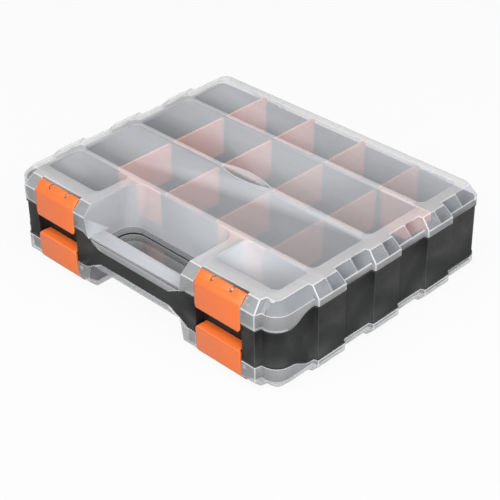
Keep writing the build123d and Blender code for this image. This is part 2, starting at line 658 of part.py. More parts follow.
# Latch: a barrel on the pin, a plate bent over the border and a ledge that hooks under the catch
bend_z = HEIGHT - LATCH_FACE_BEND
bend_place = (LATCH_FACE_Y + LATCH_FACE_LEAN, bend_z + LATCH_THICK)
lip_z = MIDDLE + LATCH_LIP_RISE
with BuildPart() as latch_shape:
    with BuildSketch(Plane.YZ) as profile:
        with Locations((LATCH_AXIS_Y, LATCH_AXIS_Z)):
            Circle(LATCH_BARREL)
        with BuildLine():
            lean = LATCH_BARREL / math.sqrt(2)
            points = [(LATCH_AXIS_Y - lean, LATCH_AXIS_Z + lean), bend_place]
            points += [(LATCH_FACE_Y, LATCH_EDGE_Z), (HOOK_TIP_Y - HOOK_SLANT, lip_z), (HOOK_TIP_Y, lip_z)]
            points += [(HOOK_TIP_Y, LATCH_EDGE_Z + HOOK_REACH), (LATCH_BACK_Y, LATCH_EDGE_Z + HOOK_REACH)]
            points += [(LATCH_BACK_Y, bend_z + LATCH_THICK / 2), (LATCH_AXIS_Y, LATCH_AXIS_Z - lean)]
            Polyline(*points, close=True)
        make_face()
        fillet(profile.vertices().sort_by_distance(bend_place)[0], LATCH_BEND_RADIUS)
    extrude(amount=LATCH_WIDTH / 2, both=True)
    notch = 2 * (LATCH_BARREL + POCKET_GAP)
    for turn in SIDES:
        with Locations((turn * LATCH_NOTCH_OFFSET, LATCH_AXIS_Y, LATCH_AXIS_Z)):
            Box(LATCH_NOTCH_WIDTH, notch, notch, mode=Mode.SUBTRACT)
    with Locations((0, LATCH_AXIS_Y, LATCH_AXIS_Z)):
        bore = LATCH_PIN_RADIUS + RUNNING_FIT
        Cylinder(bore, LATCH_WIDTH + OVERSHOOT, rotation=(0, 90, 0), mode=Mode.SUBTRACT)
    with BuildSketch(Plane.XZ.offset(-HOOK_TIP_Y)) as outline:
        with Locations((0, HEIGHT)):
            Rectangle(LATCH_WIDTH, 2 * (HEIGHT - lip_z))
        fillet(outline.vertices().group_by(Axis.Y)[0], LATCH_CORNER)
    extrude(amount=LATCH_LIP_DEPTH + BEYOND, both=True, mode=Mode.INTERSECT)
for side, hand in ((-1, "left"), (1, "right")):
    latch = latch_shape.part.moved(Location((side * LATCH_X, 0, 0)))
    save_mirrored(latch, f"top_latch_{hand}", f"bottom_latch_{hand}")

# Latch pins and hinge pins
latch_pin_length = 2 * (LATCH_BAY_HALF + LATCH_PIN_SEAT) - 2 * TIGHT_FIT
hinge_pin_length = TRAY_KNUCKLE + 2 * (KNUCKLE_GAP + LID_KNUCKLE)
for side, hand in ((-1, "left"), (1, "right")):
    with BuildPart() as latch_pin:
        with Locations((side * LATCH_X, LATCH_AXIS_Y, LATCH_AXIS_Z)):
            Cylinder(LATCH_PIN_RADIUS, latch_pin_length, rotation=(0, 90, 0))
    save_mirrored(latch_pin.part, f"top_latch_pin_{hand}", f"bottom_latch_pin_{hand}")
    hinge_pin = knuckle_barrel(side * HINGE_X, hinge_pin_length, HINGE_PIN_RADIUS)
    save_mirrored(hinge_pin, f"top_hinge_pin_{hand}", f"bottom_hinge_pin_{hand}")

# Dividers across the rows, numbered from the left in each row from the handle to the hinge
divider_low = FLOOR_TOP + DIVIDER_FLOOR_GAP
divider_high = HEIGHT - DIVIDER_TOP_DROP
divider_z = (divider_low + divider_high) / 2
for number, (line_x, low_y, high_y) in enumerate(divider_places()):
    row, line = divmod(number, COLUMNS - 1)
    with BuildPart() as divider:
        with Locations((line_x, (low_y + high_y) / 2, divider_z)):
            Box(DIVIDER_THICK, high_y - low_y - 2 * DIVIDER_END_GAP, divider_high - divider_low)
        corners = divider.edges().filter_by(Axis.X).group_by(Axis.Z)[-1]
        chamfer(corners, DIVIDER_CORNER)
    place = f"{row + 1}_{line + 1}"
    save_mirrored(divider.part, f"top_divider_{place}", f"bottom_divider_{place}")

# Cross dividers in the windows of the partitions
cross_length = 2 * (channel_half - DIVIDER_END_GAP)
for number, (centre_x, wall_y) in enumerate(cross_places()):
    with BuildPart() as cross:
        with Locations((centre_x, wall_y, divider_z)):
            Box(cross_length, DIVIDER_THICK, divider_high - divider_low)
        chamfer(cross.edges().filter_by(Axis.Y).group_by(Axis.Z)[-1], DIVIDER_CORNER)
    save_mirrored(cross.part, f"top_cross_divider_{number + 1}", f"bottom_cross_divider_{number + 1}")
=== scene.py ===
"""Finishes and fine shapes of a double-sided parts organiser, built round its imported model.

Lengths are in metres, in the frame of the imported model: X along the handle side, the handle and the
latches face -Y, and Z points up.
"""
import json
import logging
import math
from dataclasses import dataclass, field
from enum import Enum, IntEnum
from itertools import combinations

import bmesh
import bpy
from mathutils import Matrix, Vector
from mathutils.bvhtree import BVHTree
from mathutils.geometry import intersect_line_line_2d, intersect_point_line

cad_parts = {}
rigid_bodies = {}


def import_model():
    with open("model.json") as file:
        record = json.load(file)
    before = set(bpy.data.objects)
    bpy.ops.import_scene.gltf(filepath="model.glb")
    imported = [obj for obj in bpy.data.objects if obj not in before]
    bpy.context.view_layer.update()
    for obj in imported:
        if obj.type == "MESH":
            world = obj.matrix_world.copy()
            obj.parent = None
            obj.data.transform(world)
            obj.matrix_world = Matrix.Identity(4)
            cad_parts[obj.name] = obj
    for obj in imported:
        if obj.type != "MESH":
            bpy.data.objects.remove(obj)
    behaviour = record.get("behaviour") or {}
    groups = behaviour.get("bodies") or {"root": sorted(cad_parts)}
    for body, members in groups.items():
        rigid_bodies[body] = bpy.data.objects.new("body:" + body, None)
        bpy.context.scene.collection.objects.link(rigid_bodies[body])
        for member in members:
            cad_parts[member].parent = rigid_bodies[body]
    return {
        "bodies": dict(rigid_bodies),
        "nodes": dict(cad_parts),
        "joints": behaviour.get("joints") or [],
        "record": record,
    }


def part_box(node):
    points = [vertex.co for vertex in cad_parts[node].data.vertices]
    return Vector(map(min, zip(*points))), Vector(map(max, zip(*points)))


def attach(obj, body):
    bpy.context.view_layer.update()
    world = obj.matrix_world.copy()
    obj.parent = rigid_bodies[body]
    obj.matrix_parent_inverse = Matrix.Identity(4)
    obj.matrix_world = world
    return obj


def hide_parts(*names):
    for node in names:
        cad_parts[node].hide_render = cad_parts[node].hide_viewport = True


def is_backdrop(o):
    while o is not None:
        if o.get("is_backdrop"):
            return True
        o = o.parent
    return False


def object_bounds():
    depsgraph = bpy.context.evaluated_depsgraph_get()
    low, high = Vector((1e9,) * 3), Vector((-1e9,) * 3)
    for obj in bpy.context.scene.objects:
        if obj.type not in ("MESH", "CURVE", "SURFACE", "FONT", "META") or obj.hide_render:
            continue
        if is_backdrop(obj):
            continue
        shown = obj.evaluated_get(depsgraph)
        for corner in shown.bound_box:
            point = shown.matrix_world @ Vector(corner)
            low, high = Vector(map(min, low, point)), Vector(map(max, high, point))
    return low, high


LOG = logging.getLogger("organiser")
MM = 0.001
PHOTO_PIXELS = 500
# In millimetres, as is the camera's focal length
SENSOR_WIDTH = 36.0
WHITE = (1.0, 1.0, 1.0, 1.0)
# Least length to divide by
TINY = 1e-9


class Face(Enum):
    """The two faces of the case, with the sign of their outward direction along Z."""

    TOP = 1
    BOTTOM = -1

    @property
    def title(self) -> str:
        """First word in the names of the pieces on this face."""
        return self.name.lower()


class Hand(Enum):
    """The two hands of the case, where left lies towards -X."""

    LEFT = "left"
    RIGHT = "right"


class FinishPlace(IntEnum):
    """Places of the finishes in a rounded piece's list."""

    FACE = 0
    EDGE = 1
    HIDDEN = 2


class Slot(Enum):
    """Material slots of the record, which the new pieces don't take."""

    TRAY = "tray_black"
    LID = "lid_frosted"
    ORANGE = "orange_plastic"


class Wire:
    """One output socket, with arithmetic that adds Math nodes."""

    def __init__(self, graph: "Graph", socket: bpy.types.NodeSocket | None) -> None:
        """Keep the graph and the output socket that carries the value."""
        self.graph = graph
        self.socket = socket

    def math(self, operation: str, first: "Wire | float", second: "Wire | float") -> "Wire":
        """Add a Math node with an operation on two operands."""
        return self.graph.node("ShaderNodeMath", {"operation": operation}, {0: first, 1: second})

    def __add__(self, other: "Wire | float") -> "Wire":
        """Sum."""
        return self.math("ADD", self, other)

    def __radd__(self, other: float) -> "Wire":
        """Sum with the wire on the right."""
        return self.math("ADD", other, self)

    def __mul__(self, other: "Wire | float") -> "Wire":
        """Product."""
        return self.math("MULTIPLY", self, other)

    def __rmul__(self, other: float) -> "Wire":
        """Product with the wire on the right."""
        return self.math("MULTIPLY", other, self)


@dataclass(frozen=True)
class Pattern:
    """Noise pattern.

    Attributes:
        scale: features in a metre.
        detail: number of finer octaves.
        roughness: strength of the finer octaves.
        span: values of the noise that are spread over the full range.
    """

    scale: float
    detail: float
    roughness: float = 0.5
    span: tuple[float, float] = (0.3, 0.7)


class Graph:
    """Node tree of a material or world, with one method that adds any node."""

    def __init__(self, tree: bpy.types.NodeTree) -> None:
        """Empty a tree and keep it."""
        tree.nodes.clear()
        self.tree = tree

    def node(self, kind: str, settings: dict | None = None, inputs: dict | None = None,
             output: int | str = 0) -> Wire:
        """Add a node, set it up and feed it.

        Args:
            kind: type name of the node.
            settings: properties to set first.
            inputs: value or wire for each socket, by name or number.
            output: socket to return.

        Returns:
            The chosen output.
        """
        made = self.tree.nodes.new(kind)
        for name, value in (settings or {}).items():
            setattr(made, name, value)
        for key, value in (inputs or {}).items():
            if isinstance(value, Wire):
                self.tree.links.new(value.socket, made.inputs[key])
            else:
                made.inputs[key].default_value = value
        return Wire(self, made.outputs[output]) if made.outputs else Wire(self, None)

    def mix(self, factor: Wire | float, first: tuple, second: tuple) -> Wire:
        """Blend two colours, with the factor as the share of the second."""
        inputs = {0: factor, 6: (*first, 1.0), 7: (*second, 1.0)}
        return self.node("ShaderNodeMix", {"data_type": "RGBA"}, inputs, 2)

    def place(self) -> Wire:
        """Object coordinates of the surface."""
        return self.node("ShaderNodeTexCoord", output="Object")

    def noise(self, where: Wire, pattern: Pattern) -> Wire:
        """Add a noise texture.

        Args:
            where: coordinates.
            pattern: its pattern.

        Returns:
            Noise from 0 to 1.
        """
        inputs = {"Vector": where, "Scale": pattern.scale, "Detail": pattern.detail,
                  "Roughness": pattern.roughness}
        return self.node("ShaderNodeTexNoise", None, inputs)

    def spread(self, value: Wire, span: tuple[float, float], result: tuple[float, float]) -> Wire:
        """Map the values of a span to a range of results and hold them there."""
        inputs = {0: value, 1: span[0], 2: span[1], 3: result[0], 4: result[1]}
        return self.node("ShaderNodeMapRange", {"clamp": True}, inputs)

    def bump(self, height: Wire, depth: float) -> Wire:
        """Turn a height from 0 to 1 into a normal, with the depth as the height of 1."""
        return self.node("ShaderNodeBump", None, {"Height": height, "Distance": depth})

    def surface(self, shader: Wire) -> None:
        """Wire a shader to the material output."""
        self.node("ShaderNodeOutputMaterial", None, {"Surface": shader})


@dataclass(frozen=True)
class MouldedPlastic:
    """Opaque moulded plastic with a fine spark-eroded grain, faint flow marks and soft rubs.

    Attributes:
        name: name of the material.
        base: colour.
        shade: colour in the flow marks.
        roughness: roughness of the surface.
        roughness_change: change of the roughness from the least rubbed to the most rubbed place.
        flow: pattern of the flow marks.
        rub: pattern of the rubs.
        grain: pattern of the grain.
        grain_depth: depth of the grain.
        specular: strength of the reflection.
        glow_through: share of the light that spreads inside the plastic.
        glow_reach: how far it spreads.
        glow_tint: how far each colour spreads, as a share of glow_reach.
    """

    name: str
    base: tuple[float, float, float]
    shade: tuple[float, float, float]
    roughness: float
    roughness_change: tuple[float, float] = (-0.05, 0.07)
    flow: Pattern = Pattern(14.0, 3.0)
    rub: Pattern = Pattern(90.0, 5.0, 0.65, (0.35, 0.75))
    grain: Pattern = Pattern(1600.0, 2.0)
    grain_depth: float = 0.03 * MM
    specular: float = 0.5
    glow_through: float = 0.0
    glow_reach: float = 3 * MM
    glow_tint: tuple[float, float, float] = (1.0, 0.5, 0.4)

    def build(self) -> bpy.types.Material:
        """Make the material.

        Returns:
            The material.
        """
        material = bpy.data.materials.new(self.name)
        material.use_nodes = True
        graph = Graph(material.node_tree)
        where = graph.place()
        flow = graph.noise(where, self.flow)
        rub = graph.noise(where, self.rub)
        colour = graph.mix(graph.spread(flow, self.flow.span, (0.0, 1.0)), self.base, self.shade)
        grain = graph.noise(where, self.grain)
        ends = tuple(self.roughness + change for change in self.roughness_change)
        roughness = graph.spread(rub, self.rub.span, ends)
        inputs = {"Base Color": colour, "Roughness": roughness, "Specular IOR Level": self.specular,
                  "Subsurface Weight": self.glow_through, "Subsurface Radius": self.glow_tint,
                  "Subsurface Scale": self.glow_reach, "Normal": graph.bump(grain, self.grain_depth)}
        graph.surface(graph.node("ShaderNodeBsdfPrincipled", None, inputs))
        return material


@dataclass(frozen=True)
class FrostedPlastic:
    """Translucent frosted plastic, hazier where the surface is rubbed.

    Attributes:
        name: name of the material.
        base: colour of the haze.
        haze: share of the surface that hides what lies behind it.
        haze_change: change of this share from place to place.
        roughness: roughness of the surface.
        roughness_change: change of the roughness from place to place.
        darker: brightness of the darker places, as a share of the colour.
        corner_haze: haze added at the front right corner, where the lid looks milkier; it is painted light that
            brightens the lid there.
        corner_way: direction from the middle in which it grows.
        corner_span: distances along this direction between which it grows.
        cloud: pattern of the rubs that have no direction.
        cloud_share: their share of all rubs.
        streak: pattern of the streaks.
        streak_squeeze: how much closer the streaks lie along each axis.
        rub_span: values of the rubs over which the haze changes.
        grain: pattern of the grain.
        grain_depth: depth of the grain.
        specular: strength of the reflection.
    """

    name: str
    base: tuple[float, float, float]
    haze: float
    haze_change: float
    roughness: float = 0.42
    roughness_change: float = 0.06
    darker: float = 0.96
    corner_haze: float = 0.0
    corner_way: tuple[float, float, float] = (1.0, -0.5, 0.0)
    corner_span: tuple[float, float] = (-0.06, 0.10)
    cloud: Pattern = Pattern(9.0, 4.0, 0.6)
    cloud_share: float = 0.65
    streak: Pattern = Pattern(22.0, 4.0, 0.6)
    streak_squeeze: tuple[float, float, float] = (1.0, 6.0, 3.0)
    rub_span: tuple[float, float] = (0.35, 0.65)
    grain: Pattern = Pattern(1100.0, 2.0)
    grain_depth: float = 0.04 * MM
    specular: float = 0.25

    def build(self) -> bpy.types.Material:
        """Make the material.

        Returns:
            The material.
        """
        material = bpy.data.materials.new(self.name)
        material.use_nodes = True
        graph = Graph(material.node_tree)
        where = graph.place()
        cloud = graph.noise(where, self.cloud)
        squeezed = graph.node("ShaderNodeMapping", None, {"Vector": where, "Scale": self.streak_squeeze})
        streak = graph.noise(squeezed, self.streak)
        rub = self.cloud_share * cloud + (1 - self.cloud_share) * streak
        haze_ends = (self.haze - self.haze_change, self.haze + self.haze_change)
        # Painted light: extra haze that grows towards the front right corner and brightens the lid there
        across = graph.node("ShaderNodeVectorMath", {"operation": "DOT_PRODUCT"},
                            {0: where, 1: self.corner_way}, "Value")
        corner = graph.spread(across, self.corner_span, (0.0, self.corner_haze))
        alpha = graph.spread(rub, self.rub_span, haze_ends) + corner
        darker = tuple(self.darker * channel for channel in self.base)
        colour = graph.mix(graph.spread(rub, self.cloud.span, (0.0, 1.0)), darker, self.base)
        grain = graph.noise(where, self.grain)
        ends = (self.roughness - self.roughness_change, self.roughness + self.roughness_change)
        roughness = graph.spread(streak, self.streak.span, ends)
        inputs = {"Base Color": colour, "Roughness": roughness, "Alpha": alpha,
                  "Specular IOR Level": self.specular, "Normal": graph.bump(grain, self.grain_depth)}
        graph.surface(graph.node("ShaderNodeBsdfPrincipled", None, inputs))
        return material


@dataclass(frozen=True)
class DrawnSteel:
    """Drawn steel wire with fine lines along its length.

    Attributes:
        name: name of the material.
        base: colour.
        roughness: roughness of the surface.
        roughness_change: change of the roughness from line to line.
        stretch: stretch of the pattern along the wire, as a scale for each axis.
        lines: pattern of the lines.
        line_depth: depth of the lines.
    """

    name: str
    base: tuple[float, float, float] = (0.56, 0.56, 0.58)
    roughness: float = 0.32
    roughness_change: tuple[float, float] = (-0.08, 0.1)
    stretch: tuple[float, float, float] = (0.04, 1.0, 1.0)
    lines: Pattern = Pattern(4000.0, 3.0)
    line_depth: float = 0.01 * MM

    def build(self) -> bpy.types.Material:
        """Make the material.

        Returns:
            The material.
        """
        material = bpy.data.materials.new(self.name)
        material.use_nodes = True
        graph = Graph(material.node_tree)
        drawn = graph.node("ShaderNodeMapping", None, {"Vector": graph.place(), "Scale": self.stretch})
        lines = graph.noise(drawn, self.lines)
        ends = tuple(self.roughness + change for change in self.roughness_change)
        roughness = graph.spread(lines, self.lines.span, ends)
        inputs = {"Base Color": (*self.base, 1.0), "Metallic": 1.0, "Roughness": roughness,
                  "Normal": graph.bump(lines, self.line_depth)}
        graph.surface(graph.node("ShaderNodeBsdfPrincipled", None, inputs))
        return material


class Finishes:
    """All materials of the object, each made once."""

    def __init__(self) -> None:
        """Build the materials."""
        # The lid's frost carries painted light, extra haze towards the front right corner
        self.frost = FrostedPlastic("lid_frost", (0.56, 0.575, 0.605), haze=0.44, haze_change=0.02,
                                    corner_haze=0.23).build()
        self.frost_raised = FrostedPlastic("lid_frost_raised", (0.59, 0.58, 0.59), haze=0.54,
                                           haze_change=0.03).build()
        # Darker copy of the frost for the outer walls: painted shade
        self.frost_wall = FrostedPlastic("lid_frost_wall", (0.44, 0.445, 0.455), haze=0.46,
                                         haze_change=0.03).build()
        # Frost with less haze for the sloped sides, so more of the black tray shows: painted shade
        self.frost_slope = FrostedPlastic("lid_frost_slope", (0.50, 0.53, 0.57), haze=0.30,
                                          haze_change=0.02).build()
        # Lighter, more opaque frost on the rounded edges: partly the plastic's whitening there, partly painted
        # highlight
        self.frost_edge = FrostedPlastic("lid_frost_edge", (0.60, 0.60, 0.61), haze=0.70,
                                         haze_change=0.04).build()
        self.frost_inner = FrostedPlastic("lid_frost_inner", (0.70, 0.72, 0.75), haze=0.09,
                                          haze_change=0.01, roughness=0.45).build()
        # Frost with less haze for the sleeve in the finger gap, so the black web shows darker: painted shade
        self.frost_sleeve = FrostedPlastic("lid_frost_sleeve", (0.60, 0.61, 0.63), haze=0.22,
                                           haze_change=0.01, roughness=0.45).build()
        self.black = MouldedPlastic("tray_black_satin", (0.017, 0.0175, 0.018), (0.019, 0.0195, 0.020),
                                    roughness=0.54, specular=0.22).build()
        # Lighter, glossier black on the tray's rounded edges, partly wear and partly painted highlight; the floor
        # marks take it as their own finish
        self.black_edge = MouldedPlastic("tray_black_edge", (0.032, 0.033, 0.035), (0.038, 0.039, 0.041),
                                         roughness=0.42, specular=0.36).build()
        self.orange = MouldedPlastic("latch_orange", (0.72, 0.148, 0.027), (0.69, 0.138, 0.025),
                                     roughness=0.44).build()
        # Lighter orange on the latches' rounded edges: painted highlight
        self.orange_edge = MouldedPlastic("latch_orange_edge", (0.86, 0.21, 0.05), (0.84, 0.20, 0.045),
                                          roughness=0.38).build()
        self.divider = MouldedPlastic("divider_orange", (0.98, 0.34, 0.24), (0.96, 0.32, 0.23),
                                      roughness=0.45, glow_through=0.8).build()
        # Much lighter orange on the dividers' rounded edges, including the bright line along their tops: painted
        # highlight
        self.divider_edge = MouldedPlastic("divider_orange_edge", (1.0, 0.60, 0.42), (0.98, 0.57, 0.40),
                                           roughness=0.36).build()
        self.steel = DrawnSteel("pin_drawn_steel").build()


@dataclass(frozen=True)
class EdgeRound:
    """Rounding of a moulded piece's edges.

    Attributes:
        width: width of the rounding.
        segments: faces across it.
        corner: smallest angle between two faces that is rounded, in degrees.
        flat: largest angle at which neighbouring triangles are joined into one face, in degrees.
        merge: distance within which corners are joined.
        share: largest part of a narrow face that the rounding takes from one side.
        turn: largest turn between neighbouring edges of one smooth run, in degrees.
        tries: how often a run's width is lowered where a face's outline would cross itself.
        easing: factor by which it is lowered each time.
        overlap: area by which a face may cover itself.
        nearness: distance at which a place counts as on an edge, in widths.
    """

    width: float
    segments: int = 2
    corner: float = 28.0
    flat: float = 0.6
    merge: float = 0.02 * MM
    share: float = 0.42
    turn: float = 50.0
    tries: int = 8
    easing: float = 0.7
    overlap: float = 0.2 * MM * MM
    nearness: float = 2.0

    def weight(self, edge: bmesh.types.BMEdge) -> float:
        """Say how far an edge is rounded.

        Args:
            edge: edge of the shape.

        Returns:
            0 for an edge that stays sharp, up to 1 for one that gets the full width.
        """
        if not edge.is_manifold or edge.calc_face_angle_signed(0.0) < math.radians(self.corner):
            return 0.0
        if all(part.material_index == FinishPlace.HIDDEN for part in edge.link_faces):
            return 0.0
        start = edge.verts[0].co
        along = (edge.verts[1].co - start).normalized()
        reach = min(max((corner.co - start).cross(along).length for corner in part.verts)
                    for part in edge.link_faces)
        return min(1.0, self.share * reach / self.width)

    def runs(self, shape: bmesh.types.BMesh) -> list[list[bmesh.types.BMEdge]]:
        """Collect the edges to round in smooth runs, each of which gets one width.

        Args:
            shape: shape before it is rounded.

        Returns:
            The runs.
        """
        waiting = {edge for edge in shape.edges if self.weight(edge)}
        least = math.cos(math.radians(self.turn))
        runs = []
        while waiting:
            run = [waiting.pop()]
            for edge in run:
                for corner in edge.verts:
                    along = (corner.co - edge.other_vert(corner).co).normalized()
                    for other in corner.link_edges:
                        onward = (other.other_vert(corner).co - corner.co).normalized()
                        if other in waiting and along.dot(onward) > least:
                            waiting.remove(other)
                            run.append(other)
            runs.append(run)
        return runs

    def faults(self, mesh: bpy.types.Mesh) -> list[Vector]:
        """Find where the rounding has pushed the outline of a face across itself.

        Args:
            mesh: rounded mesh.

        Returns:
            The places.
        """
        mesh.calc_loop_triangles()
        covered = [0.0] * len(mesh.polygons)
        for triangle in mesh.loop_triangles:
            covered[triangle.polygon_index] += triangle.area
        places = []
        for part in mesh.polygons:
            if covered[part.index] - part.area > self.overlap:
                places += self.crossings(mesh, part)
        return places

    @staticmethod
    def crossings(mesh: bpy.types.Mesh, part: bpy.types.MeshPolygon) -> list[Vector]:
        """Find where the outline of one face crosses itself.

        Args:
            mesh: mesh of the face.
            part: the face.

        Returns:
            The places.
        """
        corners = [mesh.vertices[index].co.copy() for index in part.vertices]
        level = part.normal.to_track_quat("Z", "Y").inverted()
        flat = [(level @ corner).to_2d() for corner in corners]
        last = len(corners) - 1
        places = []
        for first, second in combinations(range(len(corners)), 2):
            if second - first in (1, last):
                continue
            ends = flat[first], flat[first - last], flat[second], flat[second - last]
            meet = intersect_line_line_2d(*ends)
            if meet is not None:
                share = (meet - ends[0]).length / max((ends[1] - ends[0]).length, TINY)
                places.append(corners[first].lerp(corners[first - last], share))
        return places

    def passes(self, run: list[bmesh.types.BMEdge], places: list[Vector]) -> bool:
        """Say whether a run of edges comes near one of some places.

        Args:
            run: smooth run of edges.
            places: where the outlines cross.

        Returns:
            Whether it does.
        """
        for edge in run:
            start, end = (corner.co for corner in edge.verts)
            for place in places:
                share = min(max(intersect_point_line(place, start, end)[1], 0.0), 1.0)
                if (start.lerp(end, share) - place).length < self.nearness * self.width:
                    return True
        return False


class Surroundings:
    """The tray and the dividers, asked whether a lid's face looks at them or outwards.

    Attributes:
        EAR_REACH: distance that a lid's ears reach past the latch pin that they hold.
        LIFT: distance from a face at which its view starts.
    """

    EAR_REACH = 1.2 * MM
    LIFT = 0.05 * MM

    def __init__(self, nodes: dict) -> None:
        """Collect the shapes that stand inside the lids.

        Args:
            nodes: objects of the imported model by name.
        """
        corners, parts = [], []
        for name, node in nodes.items():
            if name != "tray" and "divider" not in name:
                continue
            first = len(corners)
            corners += [corner.co.copy() for corner in node.data.vertices]
            parts += [[first + index for index in part.vertices] for part in node.data.polygons]
        self.inside = BVHTree.FromPolygons(corners, parts)
        room = Vector((0, self.EAR_REACH, self.EAR_REACH))
        pins = [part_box(name) for name in nodes if "latch_pin" in name]
        self.ears = [(low - room, high + room) for low, high in pins]

    def mark_hidden(self, shape: bmesh.types.BMesh) -> None:
        """Give the faces that look at the tray or stand round a latch pin the hidden finish.

        Args:
            shape: shape of a lid.
        """
        own = BVHTree.FromBMesh(shape)
        largest = {}
        for loops in shape.calc_loop_triangles():
            first, second, third = (loop.vert.co for loop in loops)
            area = (second - first).cross(third - first).length
            if area > largest.get(loops[0].face, (0.0, None))[0]:
                largest[loops[0].face] = (area, (first + second + third) / 3)
        for part, (_, centre) in largest.items():
            start = centre + part.normal * self.LIFT
            case_far = self.inside.ray_cast(start, part.normal)[3]
            lid_far = own.ray_cast(start, part.normal)[3]
            if case_far is not None and (lid_far is None or case_far < lid_far):
                part.material_index = FinishPlace.HIDDEN
            if any(all(low[axis] < centre[axis] < high[axis] for axis in range(3))
                   for low, high in self.ears):
                part.material_index = FinishPlace.HIDDEN


class Model:
    """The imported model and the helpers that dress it."""

    def __init__(self) -> None:
        """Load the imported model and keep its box."""
        self.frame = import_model()
        self.packed_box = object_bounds()
        bodies = self.frame["record"]["behaviour"]["bodies"]
        self.node_body = {node: body for body, nodes in bodies.items() for node in nodes}
        self.height = self.packed_box[1][2]
        self.surroundings = Surroundings(self.frame["nodes"])

    @staticmethod
    def middle(node: str) -> Vector:
        """Find the middle of a node's box."""
        low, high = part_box(node)
        return (low + high) / 2

    def rounded(self, node: str, name: str, edges: EdgeRound, finishes: list[bpy.types.Material]) -> bpy.types.Object:
        """Replace a node by a copy of it with rounded edges in their own finish.

        Args:
            node: node to copy.
            name: name of the new piece.
            edges: how its edges are rounded.
            finishes: finish of the faces, of the rounded edges and, for a lid, of its hidden faces.

        Returns:
            The new piece.
        """
        mesh = self.frame["nodes"][node].data.copy()
        mesh.materials.clear()
        mesh.name = name
        shape = self.joined_faces(mesh, edges)
        if len(finishes) > FinishPlace.HIDDEN:
            self.surroundings.mark_hidden(shape)
        weights = shape.edges.layers.float.new("bevel_weight_edge")
        runs = edges.runs(shape)
        for run in runs:
            least = min(edges.weight(edge) for edge in run)
            for edge in run:
                edge[weights] = least
        shape.to_mesh(mesh)
        if "custom_normal" in mesh.attributes:
            mesh.attributes.remove(mesh.attributes["custom_normal"])
        piece = bpy.data.objects.new(name, mesh)
        bpy.context.scene.collection.objects.link(piece)
        for finish in finishes:
            mesh.materials.append(finish)
        self.add_bevel(piece, edges)
        for _ in range(edges.tries):
            places = edges.faults(self.evaluated(piece))
            if not places:
                break
            for edge in (edge for run in runs if edges.passes(run, places) for edge in run):
                edge[weights] *= edges.easing
            shape.to_mesh(mesh)
            mesh.update()
        shape.free()
        self.bake(piece)
        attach(piece, self.node_body[node])
        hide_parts(node)
        LOG.info("%s: %d faces, rides on %s", name, len(piece.data.polygons), self.node_body[node])
        return piece

    @staticmethod
    def joined_faces(mesh: bpy.types.Mesh, edges: EdgeRound) -> bmesh.types.BMesh:
        """Read a mesh and join its flat triangles into whole faces.

        Args:
            mesh: mesh of the node.
            edges: how its edges are rounded.

        Returns:
            The shape, to be freed by the caller.
        """
        shape = bmesh.new()
        shape.from_mesh(mesh)
        bmesh.ops.remove_doubles(shape, verts=shape.verts, dist=edges.merge)
        bmesh.ops.dissolve_degenerate(shape, edges=shape.edges, dist=edges.merge)
        bmesh.ops.dissolve_limit(shape, angle_limit=math.radians(edges.flat), verts=shape.verts,
                                 edges=shape.edges)
        for part in shape.faces:
            part.smooth = True
            part.material_index = FinishPlace.FACE
        return shape

    @staticmethod
    def add_bevel(piece: bpy.types.Object, edges: EdgeRound) -> None:
        """Add the modifier that rounds the weighted edges.

        Args:
            piece: object to round.
            edges: how its edges are rounded.
        """
        bevel = piece.modifiers.new("edge_round", "BEVEL")
        bevel.width = edges.width
        bevel.segments = edges.segments
        bevel.limit_method = "WEIGHT"
        bevel.use_clamp_overlap = False
        bevel.harden_normals = True
        bevel.material = FinishPlace.EDGE

    @staticmethod
    def evaluated(piece: bpy.types.Object) -> bpy.types.Mesh:
        """Make the mesh of a piece with its modifiers applied."""
        view = bpy.context.evaluated_depsgraph_get()
        return bpy.data.meshes.new_from_object(piece.evaluated_get(view), depsgraph=view)

    @staticmethod
    def bake(piece: bpy.types.Object) -> None:
        """Turn a piece with its modifiers into a plain mesh.

        Args:
            piece: object whose modifiers are applied.
        """
        made = Model.evaluated(piece)
        piece.modifiers.clear()
        piece.data = made

    def dress(self, node: str, material: bpy.types.Material) -> None:
        """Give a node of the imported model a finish.

        Args:
            node: node to dress.
            material: its finish.
        """
        mesh = self.frame["nodes"][node].data
        mesh.materials.clear()
        mesh.materials.append(material)
        LOG.info("%s: %s", node, material.name)


